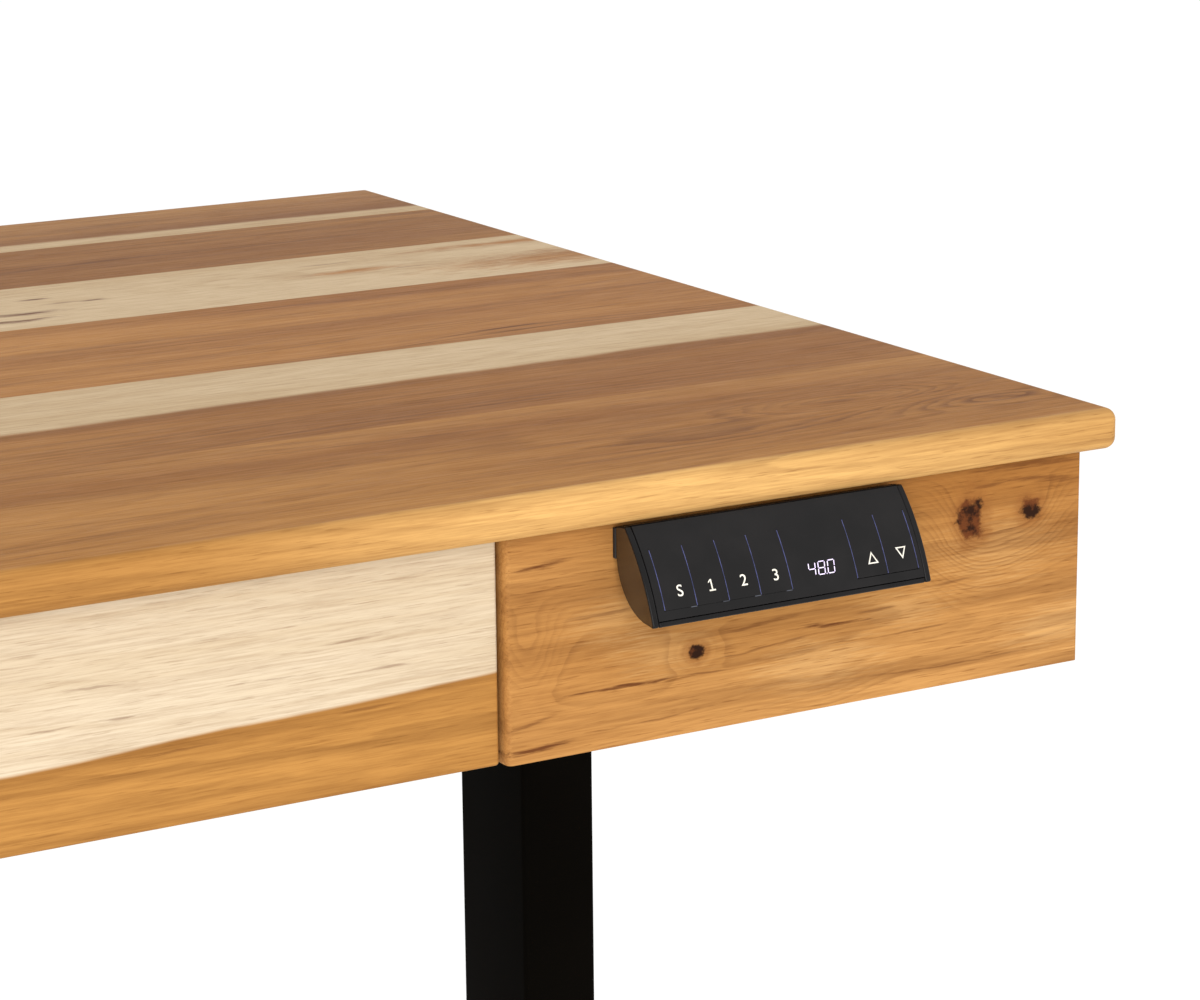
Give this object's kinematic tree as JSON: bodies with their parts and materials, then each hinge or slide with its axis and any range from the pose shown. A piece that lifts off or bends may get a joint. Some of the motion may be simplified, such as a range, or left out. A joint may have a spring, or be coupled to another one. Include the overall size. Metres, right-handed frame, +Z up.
{
  "type": "height adjustable standing desk",
  "caption": "Electric sit-stand desk: wooden top and apron with a central drawer, a push-button hand control and two telescopic steel columns on level feet.",
  "frame": {"origin": "on the floor, under the middle of the desk's outline seen from above, hand control included", "axes": "+X along the desk to the sitter's right, +Y away from the sitter, +Z up"},
  "size_m": [1.2192, 0.783, 1.2192],
  "materials": {
    "heartwood": "clear satin varnish over rustic hickory heartwood and sapwood boards",
    "sapwood": "clear satin varnish over pale hickory sapwood with a brown lower edge",
    "drawer_box_wood": "clear matt lacquer",
    "black_powder_coat": "fine satin powder coat",
    "zinc_steel": "bright zinc plate",
    "screw_steel": "ground steel with a film of grease",
    "cast_aluminium": "as-cast",
    "black_plastic": "fine spark texture",
    "gloss_black_plastic": "polished",
    "smoked_plastic": "polished dark smoke",
    "circuit_board": "green solder mask",
    "rubber": "moulded"
  },
  "bodies": {
    "base": {"foot_left": "black_powder_coat", "foot_right": "black_powder_coat", "lower_tube_left": "black_powder_coat", "lower_tube_right": "black_powder_coat", "guide_collar_left": "black_plastic", "guide_collar_right": "black_plastic", "nut_tube_left": "cast_aluminium", "nut_tube_right": "cast_aluminium"},
    "top": {"desktop": "heartwood", "apron_front_left": "heartwood", "apron_front_right": "heartwood", "apron_side_left": "heartwood", "apron_side_right": "heartwood", "apron_back": "heartwood", "drawer_partition_left": "drawer_box_wood", "drawer_partition_right": "drawer_box_wood", "runner_fixed_left": "zinc_steel", "runner_fixed_right": "zinc_steel", "upper_tube_left": "black_powder_coat", "upper_tube_right": "black_powder_coat", "crossbeam_front": "black_powder_coat", "crossbeam_rear": "black_powder_coat", "side_rail_left": "black_powder_coat", "side_rail_right": "black_powder_coat", "head_bracket_left": "black_powder_coat", "head_bracket_right": "black_powder_coat", "gearbox_left": "cast_aluminium", "gearbox_right": "cast_aluminium", "motor_left": "black_powder_coat", "motor_right": "black_powder_coat", "control_box_base": "black_plastic", "control_box_cover": "black_plastic", "mains_socket": "black_plastic", "handset_plate": "black_plastic", "handset_housing": "gloss_black_plastic", "handset_fascia": "gloss_black_plastic", "handset_end_cap_left": "smoked_plastic", "handset_end_cap_right": "smoked_plastic", "handset_circuit_board": "circuit_board"},
    "spindle_left": {"lead_screw_left": "screw_steel"},
    "spindle_right": {"lead_screw_right": "screw_steel"},
    "drawer": {"drawer_front": "sapwood", "drawer_side_left": "drawer_box_wood", "drawer_side_right": "drawer_box_wood", "drawer_back": "drawer_box_wood", "drawer_bottom": "drawer_box_wood", "runner_drawer_left": "zinc_steel", "runner_drawer_right": "zinc_steel"},
    "runner_left": {"runner_middle_left": "zinc_steel"},
    "runner_right": {"runner_middle_right": "zinc_steel"},
    "glide_front_left": {"glide_front_left": "rubber"},
    "glide_front_right": {"glide_front_right": "rubber"},
    "glide_rear_left": {"glide_rear_left": "rubber"},
    "glide_rear_right": {"glide_rear_right": "rubber"},
    "key_s": {"key_s": "gloss_black_plastic"},
    "key_1": {"key_1": "gloss_black_plastic"},
    "key_2": {"key_2": "gloss_black_plastic"},
    "key_3": {"key_3": "gloss_black_plastic"},
    "key_up": {"key_up": "gloss_black_plastic"},
    "key_down": {"key_down": "gloss_black_plastic"}
  },
  "joints": [
    {"name": "lift", "type": "slide", "parent": "base", "child": "top", "axis": [0, 0, 1], "range_m": [-0.47, 0]},
    {"name": "spindle_left_turn", "type": "hinge", "parent": "top", "child": "spindle_left", "pos_m": [-0.5334, 0.0572, 1.1], "axis": [0, 0, 1], "continuous": true},
    {"name": "spindle_right_turn", "type": "hinge", "parent": "top", "child": "spindle_right", "pos_m": [0.5334, 0.0572, 1.1], "axis": [0, 0, 1], "continuous": true},
    {"name": "drawer_slide", "type": "slide", "parent": "top", "child": "drawer", "axis": [0, -1, 0], "range_m": [0, 0.25]},
    {"name": "runner_left_slide", "type": "slide", "parent": "top", "child": "runner_left", "axis": [0, -1, 0], "range_m": [0, 0.125]},
    {"name": "runner_right_slide", "type": "slide", "parent": "top", "child": "runner_right", "axis": [0, -1, 0], "range_m": [0, 0.125]},
    {"name": "glide_front_left_level", "type": "slide", "parent": "base", "child": "glide_front_left", "axis": [0, 0, 1], "range_m": [0, 0.008]},
    {"name": "glide_front_right_level", "type": "slide", "parent": "base", "child": "glide_front_right", "axis": [0, 0, 1], "range_m": [0, 0.008]},
    {"name": "glide_rear_left_level", "type": "slide", "parent": "base", "child": "glide_rear_left", "axis": [0, 0, 1], "range_m": [0, 0.008]},
    {"name": "glide_rear_right_level", "type": "slide", "parent": "base", "child": "glide_rear_right", "axis": [0, 0, 1], "range_m": [0, 0.008]},
    {"name": "key_s_press", "type": "hinge", "parent": "top", "child": "key_s", "pos_m": [0.3637, -0.3753, 1.18906], "axis": [1, 0, 0], "range_deg": [0, 2.5], "stiffness_Nm_per_rad": 0.3, "springref_deg": -1.15},
    {"name": "key_1_press", "type": "hinge", "parent": "top", "child": "key_1", "pos_m": [0.3797, -0.3753, 1.18906], "axis": [1, 0, 0], "range_deg": [0, 2.5], "stiffness_Nm_per_rad": 0.3, "springref_deg": -1.15},
    {"name": "key_2_press", "type": "hinge", "parent": "top", "child": "key_2", "pos_m": [0.3957, -0.3753, 1.18906], "axis": [1, 0, 0], "range_deg": [0, 2.5], "stiffness_Nm_per_rad": 0.3, "springref_deg": -1.15},
    {"name": "key_3_press", "type": "hinge", "parent": "top", "child": "key_3", "pos_m": [0.4117, -0.3753, 1.18906], "axis": [1, 0, 0], "range_deg": [0, 2.5], "stiffness_Nm_per_rad": 0.3, "springref_deg": -1.15},
    {"name": "key_up_press", "type": "hinge", "parent": "top", "child": "key_up", "pos_m": [0.4613, -0.3753, 1.18906], "axis": [1, 0, 0], "range_deg": [0, 2.5], "stiffness_Nm_per_rad": 0.3, "springref_deg": -1.15},
    {"name": "key_down_press", "type": "hinge", "parent": "top", "child": "key_down", "pos_m": [0.4773, -0.3753, 1.18906], "axis": [1, 0, 0], "range_deg": [0, 2.5], "stiffness_Nm_per_rad": 0.3, "springref_deg": -1.15}
  ],
  "couplings": [
    {"joint": "spindle_left_turn", "follows": "lift", "rad_per_m": 523.6},
    {"joint": "spindle_right_turn", "follows": "lift", "rad_per_m": 523.6},
    {"joint": "runner_left_slide", "follows": "drawer_slide", "ratio": 0.5},
    {"joint": "runner_right_slide", "follows": "drawer_slide", "ratio": 0.5}
  ]
}
